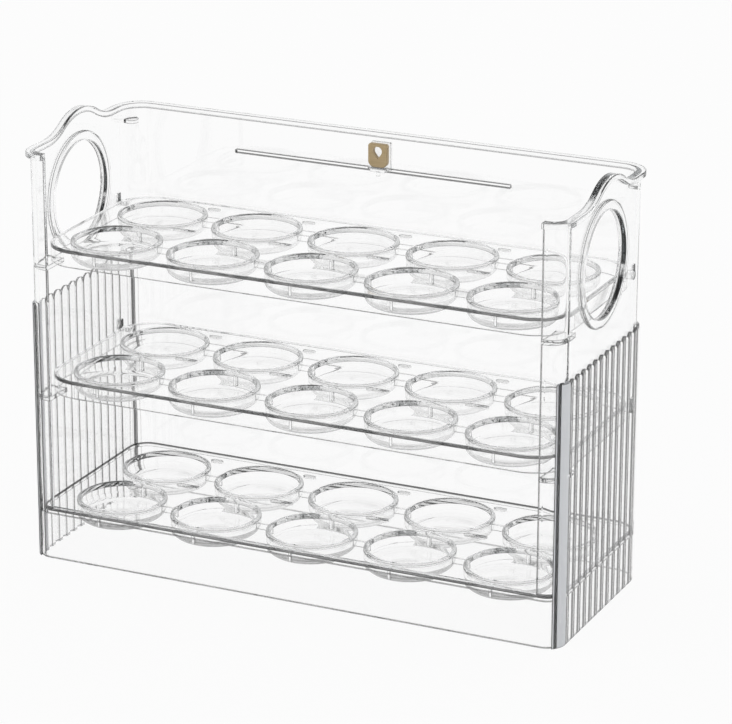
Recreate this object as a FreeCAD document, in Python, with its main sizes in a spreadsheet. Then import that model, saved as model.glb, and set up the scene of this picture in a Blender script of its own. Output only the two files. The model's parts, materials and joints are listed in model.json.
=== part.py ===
# Egg storage container: a clear moulded stand with three tiers of ten egg cups.
# The stand is open at the front. Its lowest tray lies on a ledge, the two upper trays turn
# on stub pins near the back wall so that they can be flipped up, and a date marker slides
# along a slot in the back wall. Millimetres, +Z up, front towards -Y, origin under the middle.

import FreeCAD
import Part
import Sketcher
import math
import os

doc = FreeCAD.newDocument("egg_storage_container")
sheet = doc.addObject("Spreadsheet::Sheet", "sizes")


class Size:
    """A length that carries its expression for the document and its value in millimetres."""

    def __init__(self, text, value):
        self.text = text
        self.value = value

    def joined(self, sign, other, value):
        other = other if isinstance(other, Size) else Size(str(other), other)
        return Size(f"({self.text} {sign} {other.text})", value(self.value, other.value))

    def __add__(self, other):
        return self.joined("+", other, lambda a, b: a + b)

    def __sub__(self, other):
        return self.joined("-", other, lambda a, b: a - b)

    def __mul__(self, other):
        return self.joined("*", other, lambda a, b: a * b)

    def __truediv__(self, other):
        return self.joined("/", other, lambda a, b: a / b)

    def __neg__(self):
        return Size(f"(-{self.text})", -self.value)


ZERO = Size("0", 0.0)


def size(name, value):
    """Write one driving dimension into the sheet and give it back as a Size."""
    row = len(sheet.getUsedCells()) // 2 + 1
    sheet.set(f"A{row}", name)
    sheet.set(f"B{row}", str(value))
    sheet.setAlias(f"B{row}", name)
    return Size(f"sizes.{name}", float(value))


# Stand: outside sizes over the plain walls, without lip and flutes
body_width = size("body_width", 256)
body_depth = size("body_depth", 98)
rim_height = size("rim_height", 190.8)
wall = size("wall", 2)
front_corner = size("front_corner", 8)
back_corner = size("back_corner", 12)
flange_width = size("flange_width", 9.7)
edge_round = size("edge_round", 0.5)

# Lip round the top and the raised ears over the handle holes
lip_reach = size("lip_reach", 2.2)
lip_thick = size("lip_thick", 2.6)
ear_rise = size("ear_rise", 8.2)
ear_half = size("ear_half", 29.5)
ear_centre = size("ear_centre", 0.5)
ear_cover = size("ear_cover", 3)

# Handle holes in the side walls, each with a thick collar
handle_centre = size("handle_centre", -3)
handle_height = size("handle_height", 160.5)
handle_radius = size("handle_radius", 23.7)
collar_width = size("collar_width", 4.1)
collar_proud = size("collar_proud", 0.9)

# Fluted lower part of the side walls: proud outside, with a row of flutes sunk in the inside
flute_count = size("flute_count", 14)
flute_pitch = size("flute_pitch", 6.8)
flute_half = size("flute_half", 2.1)
flute_proud = size("flute_proud", 1)
flute_deep = size("flute_deep", 1.2)
flute_wrap = size("flute_wrap", 2.6)
flute_top = size("flute_top", 120)
flute_first = size("flute_first", -37.6)

# Tiers: height of the lowest plate's top and the step from tier to tier
low_level = size("low_level", 24.4)
tier_step = size("tier_step", 61.5)

# Trays
plate_thick = size("plate_thick", 1.8)
skirt_drop = size("skirt_drop", 8.2)
skirt_wall = size("skirt_wall", 1.6)
tray_corner = size("tray_corner", 17)
tray_round = size("tray_round", 0.5)
side_gap = size("side_gap", 1.6)
front_gap = size("front_gap", 0.7)
back_gap = size("back_gap", 1.5)
seat_gap = size("seat_gap", 0.3)
rest_gap = size("rest_gap", 0.1)

# Egg cups, five across and two deep on every tray
cup_columns = size("cup_columns", 5)
cup_rows = size("cup_rows", 2)
cup_pitch = size("cup_pitch", 48)
row_pitch = size("row_pitch", 43.5)
row_middle = size("row_middle", -2.3)
cup_radius = size("cup_radius", 20.5)
cup_wall = size("cup_wall", 1.7)
cup_depth = size("cup_depth", 8.7)
cup_floor = size("cup_floor", 1.4)
cup_foot = size("cup_foot", 4.3)
hollow_foot = size("hollow_foot", 1.2)
cup_rise = size("cup_rise", 1)
rim_round = size("rim_round", 0.6)

# Ribs under the plates and the small slots through them
rib_wall = size("rib_wall", 1)
row_rib_drop = size("row_rib_drop", 4.6)
column_rib_drop = size("column_rib_drop", 6.4)
slot_width = size("slot_width", 2.8)
oval_length = size("oval_length", 6)
oval_shift = size("oval_shift", -6.6)
oval_back = size("oval_back", 37)
leaf_length = size("leaf_length", 11)
leaf_shift = size("leaf_shift", -4)
leaf_back = size("leaf_back", 2.4)

# Stub pins of the upper trays and their keyholes in the side walls
pin_radius = size("pin_radius", 2)
pin_clear = size("pin_clear", 0.05)
pin_back = size("pin_back", 33.5)
pin_drop = size("pin_drop", 2.3)
pin_short = size("pin_short", 0.3)
pin_root = size("pin_root", 1.9)
key_width = size("key_width", 2.8)
key_height = size("key_height", 5)

# Corner shelves that carry the front of the upper trays, and the ledge of the lowest one
shelf_thick = size("shelf_thick", 2)
shelf_length = size("shelf_length", 14)
ledge_reach = size("ledge_reach", 1.3)
ledge_thick = size("ledge_thick", 1.4)

# Round tabs in the back corners, which stop the flipped trays
tab_radius = size("tab_radius", 3.4)
tab_thick = size("tab_thick", 1.6)
tab_height = size("tab_height", 182.4)
tab_side_inset = size("tab_side_inset", 2.6)
tab_back_inset = size("tab_back_inset", 5.4)

# Date marker and its slot
track_half = size("track_half", 68)
track_centre = size("track_centre", -4.5)
track_height = size("track_height", 173.3)
track_open = size("track_open", 1.4)
marker_width = size("marker_width", 9.4)
marker_height = size("marker_height", 10.9)
marker_thick = size("marker_thick", 2.2)
marker_top_corner = size("marker_top_corner", 1.2)
marker_foot_corner = size("marker_foot_corner", 2.8)
marker_gap = size("marker_gap", 0.3)
marker_lift = size("marker_lift", 1.2)
tongue_thick = size("tongue_thick", 1)
clip_thick = size("clip_thick", 1.2)
drop_radius = size("drop_radius", 2.2)
drop_height = size("drop_height", 7.5)
drop_point = size("drop_point", 3.9)
peg_radius = size("peg_radius", 1)
peg_height = size("peg_height", 2)

half_width = body_width / 2
half_depth = body_depth / 2
inner_half_width = half_width - wall
inner_half_depth = half_depth - wall
opening_half = half_width - flange_width
tray_half_width = inner_half_width - side_gap
cup_span = cup_pitch * (cup_columns - 1)
front_row = row_middle - row_pitch / 2
level_names = ["bottom_tray", "middle_tray", "top_tray"]
levels = {name: low_level + tier_step * step for step, name in enumerate(level_names)}
upper_trays = level_names[1:]
SPARE = Size("1", 1.0)
SIDES = (-1, 1)


# Helpers: every size and place is bound to the sheet
def bind(item, **sizes):
    """Bind properties of a document object to expressions."""
    for name, length in sizes.items():
        item.setExpression(name, length.text)
    return item


def put(item, x=ZERO, y=ZERO, z=ZERO):
    """Bind an object's place."""
    for axis, length in zip("xyz", (x, y, z)):
        item.setExpression(f"Placement.Base.{axis}", length.text)
    return item


def axis_constraint(sketch, line, across, length):
    """Hold a level or upright line at its distance from the sketch's origin."""
    if length.text == "0":
        sketch.addConstraint(Sketcher.Constraint("PointOnObject", line, 1, -2 if across else -1))
        return
    kind = "DistanceX" if across else "DistanceY"
    index = sketch.addConstraint(Sketcher.Constraint(kind, -1, 1, line, 1, length.value))
    sketch.setExpression(f"Constraints[{index}]", length.text)


def radius_constraint(sketch, arc, length):
    """Hold an arc's radius."""
    index = sketch.addConstraint(Sketcher.Constraint("Radius", arc, length.value))
    sketch.setExpression(f"Constraints[{index}]", length.text)


def vector(x, y):
    return FreeCAD.Vector(x, y, 0)


def arc(centre, radius, start, end):
    """An arc about a centre between two angles in degrees, counterclockwise."""
    circle = Part.Circle(centre, vector(0, 0) + FreeCAD.Vector(0, 0, 1), radius)
    return Part.ArcOfCircle(circle, math.radians(start), math.radians(end))


def square_outline(sketch, corners):
    """Draw a closed outline of level and upright lines. Corners run counterclockwise as
    (x, y, radius), and a radius of ZERO is a sharp corner."""
    count = len(corners)
    places = [vector(x.value, y.value) for x, y, radius in corners]
    lines = []
    for index in range(count):
        start, end = places[index], places[(index + 1) % count]
        way = (end - start).normalize()
        start = start + way * corners[index][2].value
        end = end - way * corners[(index + 1) % count][2].value
        lines.append(sketch.addGeometry(Part.LineSegment(start, end)))
    for index in range(count):
        line, after = lines[index], lines[(index + 1) % count]
        across = abs(places[index].x - places[(index + 1) % count].x) < 1e-6
        sketch.addConstraint(Sketcher.Constraint("Vertical" if across else "Horizontal", line))
        axis_constraint(sketch, line, across, corners[index][0 if across else 1])
        corner = (index + 1) % count
        radius = corners[corner][2]
        if radius.text == "0":
            sketch.addConstraint(Sketcher.Constraint("Coincident", line, 2, after, 1))
            continue
        before = (places[corner] - places[index]).normalize()
        turn = (places[(corner + 1) % count] - places[corner]).normalize()
        centre = places[corner] - before * radius.value + turn * radius.value
        heading = math.degrees(math.atan2(before.y, before.x))
        left_turn = before.cross(turn).z > 0
        first = heading - 90 if left_turn else heading
        bend = sketch.addGeometry(arc(centre, radius.value, first, first + 90))
        start_end, end_end = (1, 2) if left_turn else (2, 1)
        sketch.addConstraint(Sketcher.Constraint("Tangent", line, 2, bend, start_end))
        sketch.addConstraint(Sketcher.Constraint("Tangent", bend, end_end, after, 1))
        radius_constraint(sketch, bend, radius)


def rectangle(x_low, x_high, y_low, y_high, low_radius=ZERO, high_radius=ZERO):
    """Corners of a rectangle, with one radius on its low side and one on its high side."""
    return [(x_low, y_low, low_radius), (x_high, y_low, low_radius),
            (x_high, y_high, high_radius), (x_low, y_high, high_radius)]


def slot_outline(sketch, x, y, length, width):
    """Draw a slot with round ends, lying along the sketch's first axis."""
    reach = (length - width) / 2
    middle, end = vector(x.value, y.value), vector(reach.value, 0)
    side = vector(0, width.value / 2)
    low = sketch.addGeometry(Part.LineSegment(middle - end - side, middle + end - side))
    right = sketch.addGeometry(arc(middle + end, width.value / 2, -90, 90))
    high = sketch.addGeometry(Part.LineSegment(middle + end + side, middle - end + side))
    left = sketch.addGeometry(arc(middle - end, width.value / 2, 90, 270))
    for line, after in ((low, right), (right, high), (high, left), (left, low)):
        sketch.addConstraint(Sketcher.Constraint("Tangent", line, 2, after, 1))
    sketch.addConstraint(Sketcher.Constraint("Horizontal", low))
    radius_constraint(sketch, right, width / 2)
    for bend, place in ((right, x + reach), (left, x - reach)):
        index = sketch.addConstraint(Sketcher.Constraint("DistanceX", -1, 1, bend, 3, place.value))
        sketch.setExpression(f"Constraints[{index}]", place.text)
    index = sketch.addConstraint(Sketcher.Constraint("DistanceY", -1, 1, right, 3, y.value))
    sketch.setExpression(f"Constraints[{index}]", y.text)


def prism(name, corners, bottom, height):
    """An upright block over an outline."""
    sketch = doc.addObject("Sketcher::SketchObject", name + "_outline")
    square_outline(sketch, corners)
    put(sketch, z=bottom)
    block = doc.addObject("Part::Extrusion", name)
    block.Base = sketch
    block.DirMode = "Normal"
    block.Solid = True
    return bind(block, LengthFwd=height)


def box(name, x, y, z):
    """A block between low and high places along the three axes."""
    block = doc.addObject("Part::Box", name)
    bind(block, Length=x[1] - x[0], Width=y[1] - y[0], Height=z[1] - z[0])
    return put(block, x[0], y[0], z[0])


def bar(name, radius, length, x, y, z):
    """A round bar that starts at a place and runs along +X."""
    rod = doc.addObject("Part::Cylinder", name)
    rod.Placement = FreeCAD.Placement(vector(0, 0), FreeCAD.Rotation(vector(0, 1), 90))
    bind(rod, Radius=radius, Height=length)
    return put(rod, x, y, z)


def post(name, radius, height, x, y, z):
    """A round bar that stands on a place."""
    rod = doc.addObject("Part::Cylinder", name)
    bind(rod, Radius=radius, Height=height)
    return put(rod, x, y, z)


def ball(name, radius, x, y, z):
    """A ball about a place."""
    sphere = doc.addObject("Part::Sphere", name)
    bind(sphere, Radius=radius)
    return put(sphere, x, y, z)


def joined(name, pieces):
    whole = doc.addObject("Part::MultiFuse", name)
    whole.Shapes = pieces
    whole.Refine = True
    return whole


def shared(name, pieces):
    overlap = doc.addObject("Part::MultiCommon", name)
    overlap.Shapes = pieces
    return overlap


def less(name, base, tool):
    rest = doc.addObject("Part::Cut", name)
    rest.Base = base
    rest.Tool = tool
    rest.Refine = True
    return rest


def rounded(name, base, radius, wanted):
    """Round the edges of a finished shape for which wanted(edge) is true."""
    doc.recompute()
    names = [(number, radius.value, radius.value)
             for number, edge in enumerate(base.Shape.Edges, 1) if wanted(edge)]
    fillet = doc.addObject("Part::Fillet", name)
    fillet.Base = base
    fillet.Edges = names
    return fillet


# Stand: one moulding with side walls, back wall, low front apron and narrow front flanges
def stand_corners(offset):
    """The stand's outline, moved outwards by an offset."""
    return rectangle(-(half_width + offset), half_width + offset, -(half_depth + offset),
                     half_depth + offset, front_corner + offset, back_corner + offset)


def below_top(name, height, cover):
    """Everything below the top edge: level, with a round ear over each handle hole that
    covers the collar, however high the hole lies."""
    bend = (ear_half * ear_half + ear_rise * ear_rise) / (ear_rise * 4)
    reach = half_depth + lip_reach + SPARE
    top = height + ear_rise
    sketch = doc.addObject("Sketcher::SketchObject", name + "_outline")
    low, high = ear_centre - ear_half, ear_centre + ear_half
    turn = math.degrees(math.asin(ear_half.value / 2 / bend.value))
    add = sketch.addGeometry
    foot = add(Part.LineSegment(vector(-reach.value, 0), vector(reach.value, 0)))
    back = add(Part.LineSegment(vector(reach.value, 0), vector(reach.value, height.value)))
    back_flat = add(Part.LineSegment(vector(reach.value, height.value), vector(high.value, height.value)))
    back_bend = add(arc(vector(high.value, (height + bend).value), bend.value, 270 - turn, 270))
    crown = add(arc(vector(ear_centre.value, (top - bend).value), bend.value, 90 - turn, 90 + turn))
    front_bend = add(arc(vector(low.value, (height + bend).value), bend.value, 270, 270 + turn))
    front_flat = add(Part.LineSegment(vector(low.value, height.value), vector(-reach.value, height.value)))
    front = add(Part.LineSegment(vector(-reach.value, height.value), vector(-reach.value, 0)))
    for line, after in ((foot, back), (back, back_flat), (front_flat, front), (front, foot)):
        sketch.addConstraint(Sketcher.Constraint("Coincident", line, 2, after, 1))
    tangents = ((back_flat, 2, back_bend, 2), (back_bend, 1, crown, 1),
                (crown, 2, front_bend, 2), (front_bend, 1, front_flat, 1))
    for tangent in tangents:
        sketch.addConstraint(Sketcher.Constraint("Tangent", *tangent))
    for line in (foot, back_flat, front_flat):
        sketch.addConstraint(Sketcher.Constraint("Horizontal", line))
    for line in (back, front):
        sketch.addConstraint(Sketcher.Constraint("Vertical", line))
    axis_constraint(sketch, foot, False, ZERO)
    axis_constraint(sketch, back, True, reach)
    axis_constraint(sketch, front, True, -reach)
    axis_constraint(sketch, back_flat, False, height)
    axis_constraint(sketch, front_flat, True, low)
    for bend_arc in (back_bend, crown):
        radius_constraint(sketch, bend_arc, bend)
    sketch.addConstraint(Sketcher.Constraint("Equal", back_bend, front_bend))
    places = (("DistanceX", back_bend, high), ("DistanceY", crown, top - bend))
    for kind, bend_arc, place in places:
        index = sketch.addConstraint(Sketcher.Constraint(kind, -1, 1, bend_arc, 3, place.value))
        sketch.setExpression(f"Constraints[{index}]", place.text)
    sketch.Placement = FreeCAD.Placement(vector(0, 0), FreeCAD.Rotation(FreeCAD.Vector(1, 1, 1), 120))
    block = doc.addObject("Part::Extrusion", name + "_level")
    block.Base = sketch
    block.DirMode = "Normal"
    block.Solid = True
    block.Symmetric = True
    broad = half_width + lip_reach + SPARE
    bind(block, LengthFwd=broad * 2)
    round_top = bar(name + "_round", handle_radius + collar_width + cover, broad * 2, -broad,
                    handle_centre, handle_height)
    return joined(name, [block, round_top])


def word(side):
    return "left" if side < 0 else "right"


def between(side, near, far):
    """Low and high place of a stretch along X, given for the right side."""
    return (near, far) if side > 0 else (-far, -near)


def flute_places():
    """Places of the flutes of one side along Y, from front to back."""
    return [flute_first + flute_pitch * (number - 1) for number in range(int(flute_count.value))]


def fluted_part(side):
    """What bounds the proud part of one side wall: round-topped over each flute, and square
    where it runs round the two corners."""
    x = between(side, half_width - flute_wrap, half_width + flute_proud + SPARE)
    reach = half_depth + flute_proud + SPARE
    places = flute_places()
    stop = flute_top - flute_pitch / 2
    pieces = [box(f"fluted_{word(side)}", x, (-reach, reach), (ZERO, stop))]
    for end, y in (("front", (-reach, places[1] - flute_pitch / 2)),
                   ("back", (places[-2] + flute_pitch / 2, reach))):
        pieces.append(box(f"fluted_{word(side)}_{end}", x, y, (ZERO, flute_top)))
    for number, along in enumerate(places[1:-1], 1):
        pieces.append(bar(f"fluted_{word(side)}_{number}", flute_pitch / 2, x[1] - x[0], x[0], along, stop))
    return pieces


def flutes(side):
    """Round-ended flutes to be sunk in one side wall, which run on round its two corners."""
    radius = (flute_half * flute_half + flute_deep * flute_deep) / (flute_deep * 2)
    inset = wall + radius - flute_deep
    pieces = []
    for number, along in enumerate(flute_places()):
        back_over = along - (half_depth - back_corner)
        front_over = -(half_depth - front_corner) - along
        x, y = half_width - inset, along
        for over, corner, way in ((back_over, back_corner, 1), (front_over, front_corner, -1)):
            if over.value <= 0:
                continue
            angle = f"({over.text} / {corner.text} * 1 rad)"
            turn = over.value / corner.value
            reach = corner - inset
            x = half_width - corner + reach * Size(f"cos({angle})", math.cos(turn))
            y = (half_depth - corner + reach * Size(f"sin({angle})", math.sin(turn))) * way
        name = f"flute_{word(side)}_{number}"
        stop = flute_top - flute_half
        pieces.append(post(name, radius, stop + SPARE, x * side, y, -SPARE))
        pieces.append(ball(name + "_end", radius, x * side, y, stop))
    return pieces


def collar(side):
    """Thick ring round one handle hole, proud of the wall on both faces."""
    start = inner_half_width - collar_proud if side > 0 else -(half_width + collar_proud)
    return bar(f"collar_{side}", handle_radius + collar_width, wall + collar_proud * 2,
               start, handle_centre, handle_height)


def shelf(side, name):
    """Corner shelf behind a front flange, under the front of an upper tray."""
    x = between(side, opening_half, half_width)
    y = (-half_depth, -(inner_half_depth - shelf_length))
    top = levels[name] - skirt_drop - rest_gap
    return box(f"shelf_{name}_{side}", x, y, (top - shelf_thick, top))


def tab(side):
    """Round tab in one back corner, below the rim."""
    return post(f"tab_{side}", tab_radius, tab_thick, (inner_half_width - tab_side_inset) * side,
                inner_half_depth - tab_back_inset, tab_height)


def keyhole(side, name):
    """Keyhole for a stub pin: a bore and a narrow slot above it for snapping the pin in."""
    start = inner_half_width - SPARE if side > 0 else -(half_width + flute_proud + SPARE)
    long = wall + flute_proud + SPARE * 2
    height = levels[name] - pin_drop
    bore = bar(f"bore_{name}_{side}", pin_radius + pin_clear, long, start, pin_back, height)
    entry = box(f"entry_{name}_{side}", (start, start + long),
                (pin_back - key_width / 2, pin_back + key_width / 2), (height, height + key_height))
    return [bore, entry]


def body_shell():
    """The stand."""
    tall = rim_height + handle_height
    outer = prism("outer_block", stand_corners(ZERO), ZERO, tall)
    inner = prism("inner_block", stand_corners(-wall), -SPARE, tall + SPARE * 2)
    lip_block = prism("lip_block", stand_corners(lip_reach), ZERO, tall)
    top = below_top("below_top", rim_height, ear_cover)
    walls = shared("walls", [outer, top])
    lip = less("lip", shared("lip_top", [lip_block, top]),
               below_top("below_lip", rim_height - lip_thick, ear_cover - lip_thick))
    proud_block = prism("proud_block", stand_corners(flute_proud), ZERO, flute_top)
    proud = shared("proud_sides", [proud_block, joined("fluted_parts", fluted_part(-1) + fluted_part(1))])
    inside_cut = joined("inside_cut", [inner] + flutes(-1) + flutes(1))
    hollow = less("hollow_stand", joined("lipped_block", [walls, lip, proud]), inside_cut)
    reach = half_depth + lip_reach + SPARE
    opening = box("front_opening", (-opening_half, opening_half), (-reach, -(inner_half_depth - SPARE)),
                  (low_level, tall + SPARE))
    open_stand = less("open_stand", hollow, opening)
    seat_top = low_level - plate_thick
    ledge_block = prism("ledge_block", stand_corners(-(wall / 2)), seat_top - ledge_thick, ledge_thick)
    ledge_hole = prism("ledge_hole", stand_corners(-(wall + ledge_reach)),
                       seat_top - ledge_thick - SPARE, ledge_thick + SPARE * 2)
    additions = [less("ledge", ledge_block, ledge_hole)]
    shelves = [shelf(side, name) for side in SIDES for name in upper_trays]
    wall_middle = prism("wall_middle", stand_corners(-(wall / 2)), ZERO, tall)
    additions.append(shared("shelves", [wall_middle, joined("shelf_blocks", shelves)]))
    cutters = [box("track", (track_centre - track_half, track_centre + track_half), (inner_half_depth - SPARE, half_depth + SPARE),
                   (track_height - track_open / 2, track_height + track_open / 2))]
    for side in SIDES:
        additions += [collar(side), tab(side)]
        hole_start = inner_half_width - SPARE * 2 if side > 0 else -(half_width + SPARE * 2)
        cutters.append(bar(f"handle_hole_{side}", handle_radius, wall + SPARE * 4, hole_start,
                           handle_centre, handle_height))
        for name in upper_trays:
            cutters += keyhole(side, name)
    fitted = joined("fitted_stand", [open_stand] + additions)
    whole = less("cut_stand", fitted, joined("stand_cutters", cutters))
    return rounded("body_shell", whole, edge_round, is_soft_edge)


def outward(point):
    """How far a point lies outside the stand's plain outline."""
    corner = (front_corner if point.y < 0 else back_corner).value
    across = abs(point.x) - (half_width.value - corner)
    along = abs(point.y) - (half_depth.value - corner)
    if across > 0 and along > 0:
        return math.hypot(across, along) - corner
    return max(across, along) - corner


def is_soft_edge(edge):
    """Edges of the stand that are rounded: those of the collars' faces and of the lip."""
    curve = edge.Curve
    if isinstance(curve, Part.Circle):
        faces = (half_width + collar_proud, inner_half_width - collar_proud)
        if any(abs(abs(curve.Center.x) - face.value) < 1e-6 for face in faces):
            return True
    ends = [vertex.Point for vertex in edge.Vertexes]
    level = len(ends) == 2 and (abs(ends[0].x - ends[1].x) > 1e-3 or abs(ends[0].y - ends[1].y) > 1e-3)
    return level and all(abs(outward(end) - lip_reach.value) < 1e-4 for end in ends)


body_shell()


# Trays: plate, skirt, ten cups, ribs below and small slots through the plate
def origin_plane(body, role):
    return next(item for item in body.Origin.OriginFeatures if item.Role == role)


def drawn(body, name, role, x=ZERO, y=ZERO, z=ZERO):
    """A sketch on one of a body's origin planes, moved within the plane and lifted off it."""
    sketch = body.newObject("Sketcher::SketchObject", f"{body.Name}_{name}")
    sketch.AttachmentSupport = [(origin_plane(body, role), "")]
    sketch.MapMode = "FlatFace"
    for axis, length in zip("xyz", (x, y, z)):
        if length.text != "0":
            sketch.setExpression(f"AttachmentOffset.Base.{axis}", length.text)
    return sketch


def feature(body, kind, name, sketch, reverse=False, **sizes):
    """A feature of a body made from a sketch."""
    item = body.newObject(f"PartDesign::{kind}", f"{body.Name}_{name}")
    item.Profile = sketch
    item.Reversed = reverse
    if kind in ("Revolution", "Groove"):
        item.ReferenceAxis = (sketch, ["V_Axis"])
        item.Angle = 360
    sketch.Visibility = False
    return bind(item, **sizes)


def repeated(body, item, guide, count, step):
    """Repeat a feature across the tray."""
    pattern = body.newObject("PartDesign::LinearPattern", f"{item.Name}_pattern")
    pattern.Originals = [item]
    pattern.Direction = (guide, ["H_Axis"])
    pattern.Mode = "Spacing"
    bind(pattern, Occurrences=count, Offset=step)
    body.Tip = pattern
    return pattern


def softened(body, name, radius, wanted):
    """Round the edges of a body's last feature for which wanted(edge) is true."""
    doc.recompute()
    base = body.Tip
    names = [f"Edge{number}" for number, edge in enumerate(base.Shape.Edges, 1) if wanted(edge)]
    fillet = body.newObject("PartDesign::Fillet", f"{body.Name}_{name}")
    fillet.Base = (base, names)
    bind(fillet, Radius=radius)
    body.Tip = fillet
    return fillet


def at_height(edge, height):
    return all(abs(vertex.Z - height) < 1e-6 for vertex in edge.Vertexes)


def is_circle(edge, *radii):
    curve = edge.Curve
    return isinstance(curve, Part.Circle) and any(abs(curve.Radius - r.value) < 1e-6 for r in radii)


def cup_profile(sketch, inset, floor, top, foot):
    """Half section of a cup's outside or hollow."""
    edge = cup_radius - inset
    square_outline(sketch, [(ZERO, floor, ZERO), (edge, floor, foot), (edge, top, ZERO), (ZERO, top, ZERO)])


def tray(name, half, front, back, front_round, back_round, drop):
    """One tray. Its plate's top lies on the body's own XY plane."""
    body = doc.addObject("PartDesign::Body", name)
    put(body, z=levels[name])
    outline = drawn(body, "outline", "XY_Plane", z=-drop)
    square_outline(outline, rectangle(-half, half, front, back, front_round, back_round))
    feature(body, "Pad", "slab", outline, Length=drop)
    softened(body, "top_round", tray_round, lambda edge: at_height(edge, 0))
    if name in upper_trays:
        below = drawn(body, "below", "XY_Plane", z=-drop)
        square_outline(below, rectangle(-(half - skirt_wall), half - skirt_wall, front + skirt_wall,
                                        back - skirt_wall, front_round - skirt_wall, back_round - skirt_wall))
        feature(body, "Pocket", "underside", below, reverse=True, Length=drop - plate_thick)
        for side in SIDES:
            pin_start = (half - skirt_wall - pin_root) if side > 0 else -(half_width - pin_short)
            stub = drawn(body, f"stub_{side}", "YZ_Plane", z=pin_start)
            circle = stub.addGeometry(Part.Circle(vector(pin_back.value, -pin_drop.value),
                                                  FreeCAD.Vector(0, 0, 1), pin_radius.value))
            for kind, length in (("DistanceX", pin_back), ("DistanceY", -pin_drop)):
                index = stub.addConstraint(Sketcher.Constraint(kind, -1, 1, circle, 3, length.value))
                stub.setExpression(f"Constraints[{index}]", length.text)
            radius_constraint(stub, circle, pin_radius)
            feature(body, "Pad", f"pin_{side}", stub, Length=half_width - pin_short - half + skirt_wall + pin_root)
    first = -(cup_span / 2)
    rows = [front_row + row_pitch * number for number in range(int(cup_rows.value))]
    for number, row in enumerate(rows):
        cup = drawn(body, f"cup_{number}", "XZ_Plane", x=first, z=-row)
        cup_profile(cup, ZERO, -cup_depth, cup_rise, cup_foot)
        repeated(body, feature(body, "Revolution", f"cups_{number}", cup), outline, cup_columns, cup_pitch)
        row_rib = drawn(body, f"row_rib_{number}", "XY_Plane", z=-row_rib_drop)
        square_outline(row_rib, rectangle(first, -first, row - rib_wall / 2, row + rib_wall / 2))
        feature(body, "Pad", f"row_ribs_{number}", row_rib, Length=row_rib_drop - plate_thick / 2)
    column_rib = drawn(body, "column_rib", "XY_Plane", z=-column_rib_drop)
    square_outline(column_rib, rectangle(first - rib_wall / 2, first + rib_wall / 2,
                                         front + skirt_wall / 2, rows[-1]))
    rib = feature(body, "Pad", "column_ribs", column_rib, Length=column_rib_drop - plate_thick / 2)
    repeated(body, rib, outline, cup_columns, cup_pitch)
    for number, row in enumerate(rows):
        hollow = drawn(body, f"hollow_{number}", "XZ_Plane", x=first, z=-row)
        cup_profile(hollow, cup_wall, cup_floor - cup_depth, cup_rise + SPARE, hollow_foot)
        repeated(body, feature(body, "Groove", f"hollows_{number}", hollow), outline, cup_columns, cup_pitch)
    slots = (("ovals", oval_shift, oval_back, oval_length), ("leaves", leaf_shift, leaf_back, leaf_length))
    for slot_name, shift, place, length in slots:
        slot = drawn(body, slot_name + "_outline", "XY_Plane", z=cup_rise)
        slot_outline(slot, first + cup_pitch / 2 + shift, place, length, slot_width)
        cut = feature(body, "Pocket", slot_name, slot, Length=cup_rise + plate_thick + SPARE / 2)
        repeated(body, cut, outline, cup_columns - 1, cup_pitch)
    rims = (cup_radius, cup_radius - cup_wall)
    softened(body, "rim_round", rim_round,
             lambda edge: is_circle(edge, *rims) and at_height(edge, cup_rise.value))
    return body


inside = (-(inner_half_depth - front_gap), inner_half_depth - back_gap)
for tray_name in upper_trays:
    tray(tray_name, tray_half_width, *inside, tray_corner, tray_corner, skirt_drop)
seat = wall + seat_gap
tray("bottom_tray", half_width - seat, -(half_depth - seat), half_depth - seat, front_corner - seat,
     back_corner - seat, plate_thick)


# Date marker: a gold plate in front of the back wall and a clear clip that carries it
def marker_plate():
    """Small gold plate with a drop-shaped hole."""
    body = doc.addObject("PartDesign::Body", "marker_plate")
    put(body, z=track_height + tongue_thick / 2 + marker_lift)
    back = inner_half_depth - marker_gap
    half = marker_width / 2
    face = drawn(body, "face", "XZ_Plane", z=-back)
    square_outline(face, rectangle(-half, half, ZERO, marker_height, marker_foot_corner, marker_top_corner))
    feature(body, "Pad", "plate", face, Length=marker_thick)
    front = -(marker_thick - back).value
    softened(body, "front_round", edge_round,
             lambda edge: all(abs(vertex.Y - front) < 1e-6 for vertex in edge.Vertexes))
    hole = drawn(body, "hole", "XZ_Plane", z=-back)
    drop_outline(hole)
    feature(body, "Pocket", "drop_hole", hole, reverse=True, Length=marker_thick + SPARE)
    return body


def drop_outline(sketch):
    """Draw a drop with its round end up."""
    slope = math.degrees(math.asin(drop_radius.value / (drop_height - drop_point).value))
    centre, tip = vector(0, drop_height.value), vector(0, drop_point.value)
    cap = sketch.addGeometry(arc(centre, drop_radius.value, -slope, 180 + slope))
    touch = [centre + vector(way * math.cos(math.radians(slope)), -math.sin(math.radians(slope)))
             * drop_radius.value for way in (1, -1)]
    left = sketch.addGeometry(Part.LineSegment(touch[1], tip))
    right = sketch.addGeometry(Part.LineSegment(tip, touch[0]))
    sketch.addConstraint(Sketcher.Constraint("Tangent", cap, 2, left, 1))
    sketch.addConstraint(Sketcher.Constraint("Tangent", right, 2, cap, 1))
    sketch.addConstraint(Sketcher.Constraint("Coincident", left, 2, right, 1))
    radius_constraint(sketch, cap, drop_radius)
    for line, point, height in ((cap, 3, drop_height), (right, 1, drop_point)):
        sketch.addConstraint(Sketcher.Constraint("PointOnObject", line, point, -2))
        index = sketch.addConstraint(Sketcher.Constraint("DistanceY", -1, 1, line, point, height.value))
        sketch.setExpression(f"Constraints[{index}]", height.text)


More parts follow.
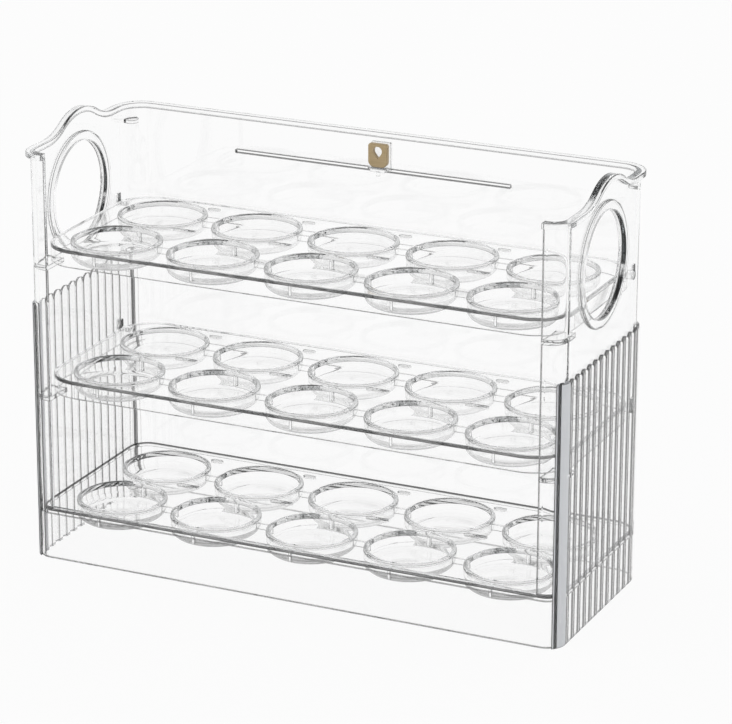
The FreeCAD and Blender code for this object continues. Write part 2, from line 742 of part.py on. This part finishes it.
def marker_clip():
    """Clear clip: a plate behind the wall, a tongue through the slot and a cradle in front."""
    half = marker_width / 2
    behind = half_depth + marker_gap
    before = inner_half_depth - marker_gap - marker_thick
    bottom = track_height - tongue_thick / 2
    top = track_height + tongue_thick / 2
    pieces = [
        box("clip_plate", (-half, half), (behind, behind + clip_thick),
            (bottom, top + marker_lift + marker_height)),
        box("clip_tongue", (-(half - SPARE), half - SPARE), (before, behind + SPARE / 2), (bottom, top)),
        box("clip_cradle", (-half, half), (before, before + marker_thick), (top, top + marker_lift)),
        post("clip_peg", peg_radius, peg_height, ZERO, before + marker_thick / 2, bottom - peg_height),
    ]
    return rounded("marker_clip", joined("clip_blank", pieces), edge_round, is_clip_corner)


def is_clip_corner(edge):
    """Upright corners of the clip's plate at its top."""
    top = (track_height + tongue_thick / 2 + marker_lift + marker_height).value
    ends = [vertex.Point for vertex in edge.Vertexes]
    return len(ends) == 2 and all(abs(end.z - top) < 1e-6 for end in ends) and abs(ends[0].y - ends[1].y) > 0.1


marker_plate()
marker_clip()


# Check every object, then write each sub-part
def faults():
    doc.recompute()
    for item in doc.Objects:
        if any(word in item.State for word in ("Invalid", "Error")):
            yield f"{item.Name}: {item.State}"


def write(names):
    problems = list(faults())
    for name in names:
        shape = doc.getObject(name).Shape
        if shape.isNull() or not shape.isValid():
            problems.append(f"{name}: no valid shape")
    if problems:
        raise RuntimeError("; ".join(problems))
    os.makedirs("parts", exist_ok=True)
    for name in names:
        shape = doc.getObject(name).Shape
        shape.exportStep(f"parts/{name}.step")
        print(name, len(shape.Solids), round(shape.Volume, 1), shape.BoundBox)


write(["body_shell"] + level_names + ["marker_plate", "marker_clip"])
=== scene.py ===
import json
import math

import bpy
from mathutils import Matrix, Vector


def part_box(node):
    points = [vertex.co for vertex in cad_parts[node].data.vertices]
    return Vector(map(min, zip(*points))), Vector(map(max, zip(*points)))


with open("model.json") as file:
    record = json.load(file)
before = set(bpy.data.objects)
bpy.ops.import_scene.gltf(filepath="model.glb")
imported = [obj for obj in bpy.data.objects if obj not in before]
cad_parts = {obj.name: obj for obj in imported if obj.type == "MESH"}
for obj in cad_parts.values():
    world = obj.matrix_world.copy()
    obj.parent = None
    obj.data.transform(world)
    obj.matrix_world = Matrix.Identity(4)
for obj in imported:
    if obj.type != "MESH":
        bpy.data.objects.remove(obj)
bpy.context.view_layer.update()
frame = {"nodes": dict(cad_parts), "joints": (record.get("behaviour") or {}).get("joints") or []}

bpy.ops.object.select_all(action="DESELECT")


# Stand
# The stand is one injection-moulded shell of clear styrene: back, two fluted sides with
# handle holes, a low apron and two narrow flanges at the front, all under a thick lip.
# It is polished, and shows mainly by darker lines along its edges and bends, which its
# finish paints in as shade.
def add_node(tree, kind, **values):
    """Add a shader node and set its plain properties."""
    node = tree.nodes.new(kind)
    for name, value in values.items():
        setattr(node, name, value)
    return node


def grey_ramp(tree, source, stops):
    """Turn a number into a grey by a ramp of (place, grey) stops."""
    ramp = add_node(tree, "ShaderNodeValToRGB")
    marks = ramp.color_ramp.elements
    while len(marks) < len(stops):
        marks.new(0.5)
    for mark, (place, grey) in zip(marks, stops):
        mark.position = place
        mark.color = (grey, grey, grey, 1)
    tree.links.new(source, ramp.inputs["Fac"])
    return ramp.outputs["Color"]


def multiplied(tree, first, second):
    """Two colours multiplied."""
    mix = add_node(tree, "ShaderNodeMix", data_type="RGBA", blend_type="MULTIPLY")
    mix.inputs[0].default_value = 1
    tree.links.new(first, mix.inputs[6])
    tree.links.new(second, mix.inputs[7])
    return mix.outputs[2]


def number(tree, operation, *values):
    """A sum of shader numbers, from sockets and plain values."""
    node = add_node(tree, "ShaderNodeMath", operation=operation)
    for socket, value in zip(node.inputs, values):
        if isinstance(value, (int, float)):
            socket.default_value = value
        else:
            tree.links.new(value, socket)
    return node.outputs["Value"]


def axes(tree, vector):
    """The three parts of a vector."""
    split = add_node(tree, "ShaderNodeSeparateXYZ")
    tree.links.new(vector, split.inputs["Vector"])
    return split.outputs["X"], split.outputs["Y"], split.outputs["Z"]


def sharp_edges(tree, geometry, edge_width):
    """How close a surface is to one of its sharp edges, from 0 to 1."""
    bevel = add_node(tree, "ShaderNodeBevel", samples=edge_samples)
    bevel.inputs["Radius"].default_value = edge_width
    dot = add_node(tree, "ShaderNodeVectorMath", operation="DOT_PRODUCT")
    tree.links.new(bevel.outputs["Normal"], dot.inputs[0])
    tree.links.new(geometry.outputs["Normal"], dot.inputs[1])
    edge = add_node(tree, "ShaderNodeMapRange")
    edge.inputs["From Min"].default_value = edge_start
    edge.inputs["From Max"].default_value = edge_full
    tree.links.new(dot.outputs["Value"], edge.inputs["Value"])
    return edge.outputs["Result"]


def melt_flow(tree):
    """The faint flow of the melt in a moulded surface."""
    place = add_node(tree, "ShaderNodeTexCoord")
    flow = add_node(tree, "ShaderNodeTexNoise")
    flow.inputs["Scale"].default_value = flow_scale
    flow.inputs["Detail"].default_value = flow_detail
    tree.links.new(place.outputs["Object"], flow.inputs["Vector"])
    wave = add_node(tree, "ShaderNodeBump")
    wave.inputs["Strength"].default_value = flow_strength
    wave.inputs["Distance"].default_value = flow_height
    tree.links.new(flow.outputs["Fac"], wave.inputs["Height"])
    return wave.outputs["Normal"]


def clear_plastic(name, edge_width, painted_turn_grey, smoke, shade=None):
    """Polished clear plastic with painted shade: its colour greys where a surface turns away and
    along its sharp edges, standing in for the shade that bent light gives there. It has a faint
    flow of the melt in its surface and a little smoke in its depth. A piece's own shade gives a
    further painted tint, how much of the surface is dull, how much its edges count, and a spot
    where the surface shades as a flat wall."""
    finish = bpy.data.materials.new(name)
    finish.use_nodes = True
    tree = finish.node_tree
    surface = tree.nodes["Principled BSDF"]
    surface.inputs["Roughness"].default_value = 0
    surface.inputs["IOR"].default_value = light_bend
    turn = add_node(tree, "ShaderNodeLayerWeight")
    turn.inputs["Blend"].default_value = turn_blend
    geometry = add_node(tree, "ShaderNodeNewGeometry")
    entering = number(tree, "SUBTRACT", 1, geometry.outputs["Backfacing"])
    turned = number(tree, "MULTIPLY", turn.outputs["Facing"], entering)
    # Painted shade: the colour greys where the surface turns away.
    tint = grey_ramp(tree, turned, ((turn_start, 1.0), (1.0, painted_turn_grey)))
    edge = sharp_edges(tree, geometry, edge_width)
    dull = flat = None
    if shade:
        own_tint, dull, edge_share, flat, wall = shade(tree)
        edge = number(tree, "MULTIPLY", edge, edge_share)
        tint = multiplied(tree, tint, own_tint)
    # Painted shade: the colour greys along sharp edges, as lines of shade.
    painted_edge_tint = grey_ramp(tree, edge, ((0.0, 1.0), (1.0, painted_edge_grey)))
    tint = multiplied(tree, tint, painted_edge_tint)
    tree.links.new(tint, surface.inputs["Base Color"])
    tree.links.new(tint, surface.inputs["Specular Tint"])
    dulled = number(tree, "MULTIPLY", edge, edge_dull)
    if dull:
        dulled = number(tree, "MAXIMUM", dulled, dull)
    tree.links.new(number(tree, "SUBTRACT", 1, dulled), surface.inputs["Transmission Weight"])
    normal = melt_flow(tree)
    if flat:
        level = add_node(tree, "ShaderNodeMix", data_type="VECTOR")
        tree.links.new(flat, level.inputs[0])
        tree.links.new(normal, level.inputs[4])
        tree.links.new(wall, level.inputs[5])
        normal = level.outputs[1]
    tree.links.new(normal, surface.inputs["Normal"])
    depth = add_node(tree, "ShaderNodeVolumeAbsorption")
    depth.inputs["Color"].default_value = smoke_colour
    depth.inputs["Density"].default_value = smoke
    tree.links.new(depth.outputs["Volume"], tree.nodes["Material Output"].inputs["Volume"])
    return finish


def finish_node(name, finish):
    """Give a moulded piece its finish."""
    mesh = frame["nodes"][name].data
    mesh.materials.clear()
    mesh.materials.append(finish)


def painted_flute_flanks(tree, x, lean, behind):
    """Painted shade on the flanks of the flutes, darker on one side: thin grey lines, or grey
    stripes when met from behind. The lean of a flank is turned to run from 0 to 1, alike on both
    sides of the stand."""
    lean = number(tree, "MULTIPLY", lean, number(tree, "MULTIPLY_ADD", behind, -2, 1))
    lean = number(tree, "MULTIPLY", lean, number(tree, "SIGN", x))
    lean = number(tree, "MULTIPLY_ADD", lean, 0.5, 0.5)
    flank = add_node(tree, "ShaderNodeMix", data_type="RGBA")
    tree.links.new(behind, flank.inputs[0])
    tree.links.new(grey_ramp(tree, lean, painted_flank_lines), flank.inputs[6])
    tree.links.new(grey_ramp(tree, lean, painted_stripes_behind), flank.inputs[7])
    return flank.outputs[2]


def back_slot(tree, y, z, lean):
    """The faces of the slot in the back wall."""
    at_slot = number(tree, "COMPARE", z, slot_height, slot_half)
    in_back = number(tree, "GREATER_THAN", y, slot_front)
    within = number(tree, "LESS_THAN", number(tree, "ABSOLUTE", lean), facing_limit)
    return number(tree, "MULTIPLY", at_slot, number(tree, "MULTIPLY", in_back, within))


def pin_holes(tree, out, y, z):
    """The holes of the two upper trays' pins, with the wall close round them."""
    at_pin = number(tree, "MAXIMUM", number(tree, "COMPARE", z, upper_pin, pin_reach),
                    number(tree, "COMPARE", z, lower_pin, pin_reach))
    at_pin = number(tree, "MULTIPLY", at_pin, number(tree, "GREATER_THAN", out, pin_side))
    return number(tree, "MULTIPLY", number(tree, "COMPARE", y, pin_back, pin_half), at_pin)


def flute_shade(tree):
    """Painted shade on the stand: thin grey lines in the flutes seen from within, grey stripes
    seen through the wall from outside, pale grey front corners and a grey back slot. The pin
    holes' edges stay light, and from within the flutes bend light as a flat wall does."""
    place = add_node(tree, "ShaderNodeTexCoord")
    x, y, z = axes(tree, place.outputs["Object"])
    out = number(tree, "ABSOLUTE", x)
    geometry = add_node(tree, "ShaderNodeNewGeometry")
    behind = geometry.outputs["Backfacing"]
    entering = number(tree, "SUBTRACT", 1, behind)
    across, lean = axes(tree, geometry.outputs["Normal"])[:2]
    low = number(tree, "LESS_THAN", z, flute_top)
    flute_middle = inner_face + flute_deep / 2
    sunk = number(tree, "COMPARE", out, flute_middle, flute_deep / 2 - flute_skin)
    in_flute = number(tree, "MULTIPLY", low, sunk)
    corner = number(tree, "MULTIPLY", number(tree, "LESS_THAN", y, post_front),
                    number(tree, "MULTIPLY", low, number(tree, "GREATER_THAN", out, post_side)))
    corner = number(tree, "MULTIPLY", corner, entering)
    lines = add_node(tree, "ShaderNodeMix", data_type="RGBA", blend_type="MULTIPLY")
    lines.inputs[6].default_value = (1, 1, 1, 1)
    tree.links.new(in_flute, lines.inputs[0])
    tree.links.new(painted_flute_flanks(tree, x, lean, behind), lines.inputs[7])
    # Painted shade on the front corner posts.
    posts = add_node(tree, "ShaderNodeMix", data_type="RGBA", blend_type="MULTIPLY")
    posts.inputs[7].default_value = painted_post_shade
    tree.links.new(corner, posts.inputs[0])
    tree.links.new(lines.outputs[2], posts.inputs[6])
    # Painted shade in the back slot.
    slot = back_slot(tree, y, z, lean)
    painted_slot_tint = grey_ramp(tree, slot, ((0.0, 1.0), (1.0, painted_slot_shade)))
    tint = multiplied(tree, posts.outputs[2], painted_slot_tint)
    pin_hole = pin_holes(tree, out, y, z)
    bored = number(tree, "LESS_THAN", number(tree, "ABSOLUTE", across), facing_limit)
    bore = number(tree, "MULTIPLY", pin_hole, bored)
    dull = number(tree, "MULTIPLY", number(tree, "MULTIPLY", in_flute, behind), stripe_dull)
    for spot, share in ((corner, post_dull), (bore, bore_dull), (slot, slot_dull)):
        dull = number(tree, "MAXIMUM", dull, number(tree, "MULTIPLY", spot, share))
    flat = number(tree, "MULTIPLY", in_flute, entering)
    wall = add_node(tree, "ShaderNodeCombineXYZ")
    tree.links.new(number(tree, "MULTIPLY", number(tree, "SIGN", x), -1), wall.inputs["X"])
    inside = number(tree, "COMPARE", out, flute_middle, flute_deep / 2 + flute_spare)
    quiet = number(tree, "MAXIMUM", pin_hole, number(tree, "MULTIPLY", low, inside))
    edge_share = number(tree, "MULTIPLY_ADD", quiet, -quiet_share, 1)
    return tint, dull, edge_share, flat, wall.outputs["Vector"]


light_bend = 1.49
# Painted shade where a surface turns away (turn_*) and along its sharp edges (edge_*).
turn_blend = 0.5
turn_start = 0.72
edge_samples = 8
edge_start = 0.994
edge_full = 0.86
painted_edge_grey = 0.12
edge_dull = 0.55
flow_scale = 22
flow_detail = 1
flow_strength = 0.05
flow_height = 0.002
smoke_colour = (0.60, 0.62, 0.63, 1)
facing_limit = 0.5
flute_top = 0.1205
flute_deep = 0.0012
flute_skin = 0.00004
flute_spare = 0.0001
inner_face = 0.126
# Painted shade: lines on the flute flanks, and stripes when they are seen through the wall.
painted_flank_lines = ((0.0, 0.5), (0.07, 1.0), (0.885, 1.0), (0.93, 0.25))
painted_stripes_behind = ((0.10, 0.06), (0.5, 0.22), (0.65, 0.16), (0.93, 0.06))
stripe_dull = 0.55
# Painted shade on the front corner posts.
post_front = -0.041
post_side = 0.1254
painted_post_shade = (0.93, 0.95, 0.98, 1)
post_dull = 0.8
# Painted shade in the back slot.
slot_height = 0.1733
slot_half = 0.00085
slot_front = 0.044
painted_slot_shade = 0.22
slot_dull = 0.6
hinges = {joint["name"]: joint["pos_m"] for joint in frame["joints"] if joint["type"] == "hinge"}
pin_back, upper_pin = hinges["top_tray_hinge"][1:]
lower_pin = hinges["middle_tray_hinge"][2]
pin_reach = 0.0065
pin_half = 0.0034
pin_side = 0.1245
bore_dull = 0.4
quiet_share = 0.85
stand_edge = 0.0008
stand_painted_turn_grey = 0.5
stand_smoke = 12
finish_node("body_shell", clear_plastic("clear_stand_plastic", stand_edge, stand_painted_turn_grey,
                                        stand_smoke, flute_shade))


# Trays
# Three trays of clear styrene, each moulded in one with ten round egg cups, ribs below and
# small slots. The lowest lies on the stand's ledge, and the two others turn on stub pins
# near the back.
def cup_shade(lowest, grey):
    """Painted shade in the round feet of a tray's cups, darker in the front row, and along the
    edge of its plate, darkest at its front, with lighter edges on the cup rims."""
    def shade(tree):
        place = add_node(tree, "ShaderNodeTexCoord")
        y, height = axes(tree, place.outputs["Object"])[1:]
        above = number(tree, "SUBTRACT", height, lowest)
        geometry = add_node(tree, "ShaderNodeNewGeometry")
        entering = number(tree, "SUBTRACT", 1, geometry.outputs["Backfacing"])
        lean, slope = axes(tree, place.outputs["Normal"])[1:]
        downward = number(tree, "COMPARE", slope, foot_slope, foot_slope_spread)
        foot = number(tree, "MULTIPLY", number(tree, "LESS_THAN", above, cup_foot),
                      number(tree, "MULTIPLY", downward, entering))
        front_row = number(tree, "LESS_THAN", y, row_middle)
        row_share = number(tree, "MULTIPLY_ADD", front_row, 1 - back_row_share, back_row_share)
        foot = number(tree, "MULTIPLY", foot, row_share)
        upright = number(tree, "LESS_THAN", number(tree, "ABSOLUTE", slope), upright_slope)
        plate = number(tree, "COMPARE", above, cup_depth - plate_edge / 2, plate_edge / 2)
        band = number(tree, "MULTIPLY", upright, plate)
        forward = number(tree, "MULTIPLY", number(tree, "LESS_THAN", lean, forward_lean), entering)
        bend = number(tree, "MULTIPLY", forward, number(tree, "LESS_THAN", y, corner_end))
        straight = number(tree, "LESS_THAN", y, front_edge)
        front = number(tree, "MULTIPLY", band, number(tree, "MAXIMUM", straight, bend))
        # Painted shade: the cup feet, the band along the plate's edge, and its front edge.
        tint = multiplied(tree, grey_ramp(tree, foot, ((0.0, 1.0), (1.0, grey))),
                          grey_ramp(tree, band, ((0.0, 1.0), (1.0, painted_band_shade))))
        painted_front_tint = grey_ramp(tree, front, ((0.0, 1.0), (1.0, painted_front_shade)))
        tint = multiplied(tree, tint, painted_front_tint)
        rim = number(tree, "GREATER_THAN", above, cup_depth + rim_start)
        edge_share = number(tree, "MULTIPLY_ADD", rim, -rim_share, 1)
        return tint, number(tree, "MULTIPLY", front, front_dull), edge_share, None, None
    return shade


cup_foot = 0.0043
cup_depth = 0.0087
foot_slope = -0.5
foot_slope_spread = 0.47
# Painted shade in the cup feet, greyest in the bottom tray.
painted_foot_shades = {"bottom_tray": 0.25, "middle_tray": 0.7, "top_tray": 0.7}
row_middle = -0.0023
back_row_share = 0.4
plate_edge = 0.0016
upright_slope = 0.6
# Painted shade along the plate's edge band and its front edge.
painted_band_shade = 0.75
front_edge = -0.0445
corner_end = -0.0305
forward_lean = -0.2
painted_front_shade = 0.2
front_dull = 0.4
rim_start = 0.0002
rim_share = 0.45
tray_edge = 0.00045
tray_painted_turn_grey = 0.35
tray_smoke = 8
for tray_name, painted_foot_shade in painted_foot_shades.items():
    shade = cup_shade(float(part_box(tray_name)[0][2]), painted_foot_shade)
    finish_node(tray_name, clear_plastic("clear_" + tray_name, tray_edge, tray_painted_turn_grey,
                                         tray_smoke, shade))


# Date marker
# A small satin gold plate with a drop-shaped hole, moulded and sprayed, stands on a clear
# clip. The clip's tongue runs in the slot of the back wall, so the marker can be slid along.
def satin_gold(name, light, dark):
    """Sprayed satin gold with fine level brushing and a slightly uneven coat."""
    finish = bpy.data.materials.new(name)
    finish.use_nodes = True
    tree = finish.node_tree
    surface = tree.nodes["Principled BSDF"]
    surface.inputs["Metallic"].default_value = gold_metal
    place = add_node(tree, "ShaderNodeTexCoord")
    stretch = add_node(tree, "ShaderNodeMapping")
    stretch.inputs["Scale"].default_value = brush_stretch
    tree.links.new(place.outputs["Object"], stretch.inputs["Vector"])
    brush = add_node(tree, "ShaderNodeTexNoise")
    brush.inputs["Scale"].default_value = 1
    brush.inputs["Detail"].default_value = brush_detail
    tree.links.new(stretch.outputs["Vector"], brush.inputs["Vector"])
    coat = add_node(tree, "ShaderNodeValToRGB")
    for mark, spot, colour in zip(coat.color_ramp.elements, coat_marks, (dark, light)):
        mark.position = spot
        mark.color = (*colour, 1)
    tree.links.new(brush.outputs["Fac"], coat.inputs["Fac"])
    tree.links.new(coat.outputs["Color"], surface.inputs["Base Color"])
    rough = add_node(tree, "ShaderNodeMapRange")
    rough.inputs["To Min"].default_value, rough.inputs["To Max"].default_value = satin_rough
    tree.links.new(brush.outputs["Fac"], rough.inputs["Value"])
    tree.links.new(rough.outputs["Result"], surface.inputs["Roughness"])
    grain = add_node(tree, "ShaderNodeBump")
    grain.inputs["Strength"].default_value = grain_strength
    grain.inputs["Distance"].default_value = grain_height
    tree.links.new(brush.outputs["Fac"], grain.inputs["Height"])
    tree.links.new(grain.outputs["Normal"], surface.inputs["Normal"])
    return finish


light_gold = (0.62, 0.48, 0.285)
dark_gold = (0.52, 0.39, 0.21)
gold_metal = 0.35
brush_stretch = (120, 400, 2600)
brush_detail = 3
coat_marks = (0.3, 0.7)
satin_rough = (0.32, 0.48)
grain_strength = 0.15
grain_height = 0.0001
clip_edge = 0.0002
clip_painted_turn_grey = 0.5
clip_smoke = 20
finish_node("marker_plate", satin_gold("satin_gold", light_gold, dark_gold))
finish_node("marker_clip", clear_plastic("clear_clip_plastic", clip_edge, clip_painted_turn_grey, clip_smoke))


# Floor and light
# A plain white floor and an even white studio round the stand, darker towards the ceiling,
# so that clear edges that look upwards pick up a grey line.
floor_lift = -0.0005
floor_size = 60
floor_grey = (0.9, 0.9, 0.9, 1)
floor_glow = 0.94
wall_light = ((0.30, 1.0), (0.75, 0.5))
bpy.ops.object.select_all(action="DESELECT")
bpy.ops.mesh.primitive_plane_add(size=floor_size, location=(0, 0, floor_lift))
floor = bpy.context.object
floor.name = "studio_floor"
bpy.ops.object.transform_apply(location=True, rotation=True, scale=True)
paper = bpy.data.materials.new("white_studio_floor")
paper.use_nodes = True
tree = paper.node_tree
tree.nodes.clear()
seen = add_node(tree, "ShaderNodeLightPath")
bright = add_node(tree, "ShaderNodeEmission")
matte = add_node(tree, "ShaderNodeBsdfDiffuse")
matte.inputs["Color"].default_value = floor_grey
either = number(tree, "MAXIMUM", seen.outputs["Is Camera Ray"], seen.outputs["Is Glossy Ray"])
any_of = number(tree, "MAXIMUM", either, seen.outputs["Is Transmission Ray"])
both = add_node(tree, "ShaderNodeMixShader")
tree.links.new(number(tree, "MULTIPLY", any_of, floor_glow), both.inputs["Fac"])
tree.links.new(matte.outputs["BSDF"], both.inputs[1])
tree.links.new(bright.outputs["Emission"], both.inputs[2])
result = add_node(tree, "ShaderNodeOutputMaterial")
tree.links.new(both.outputs["Shader"], result.inputs["Surface"])
floor.data.materials.append(paper)

studio = bpy.data.worlds.new("white_studio")
studio.use_nodes = True
bpy.context.scene.world = studio
tree = studio.node_tree
tree.nodes.clear()
place = add_node(tree, "ShaderNodeTexCoord")
walls = grey_ramp(tree, axes(tree, place.outputs["Generated"])[2], wall_light)
glow = add_node(tree, "ShaderNodeBackground")
tree.links.new(walls, glow.inputs["Color"])
result = add_node(tree, "ShaderNodeOutputWorld")
tree.links.new(glow.outputs["Background"], result.inputs["Surface"])


# Camera
# The photograph's view: from the front right and above, with a long lens. Light may bend many
# times on its way, since it passes through up to ten clear walls.
photo_angles = (24.86, 19.19, 0.13)
photo_spot = (0.6574, -1.3859, 0.6306)
photo_lens = 179.48
film_width = 36
far_limit = 100
most_bounces = 64
mirror_bounces = 32
turn, rise, tilt = (math.radians(angle) for angle in photo_angles)
back = Vector((math.sin(turn) * math.cos(rise), -math.cos(turn) * math.cos(rise), math.sin(rise)))
across = Vector((math.cos(turn), math.sin(turn), 0))
upward = back.cross(across)
side = across * math.cos(tilt) + upward * math.sin(tilt)
top = upward * math.cos(tilt) - across * math.sin(tilt)
lens = bpy.data.cameras.new("photo_camera")
lens.sensor_fit = "HORIZONTAL"
lens.sensor_width = film_width
lens.lens = photo_lens
lens.clip_end = far_limit
camera = bpy.data.objects.new("photo_camera", lens)
bpy.context.scene.collection.objects.link(camera)
stance = Matrix((side, top, back)).transposed().to_4x4()
stance.translation = Vector(photo_spot)
camera.matrix_world = stance
scene = bpy.context.scene
scene.camera = camera
scene.view_settings.view_transform = "Standard"
scene.cycles.max_bounces = most_bounces
scene.cycles.transmission_bounces = most_bounces
scene.cycles.glossy_bounces = mirror_bounces
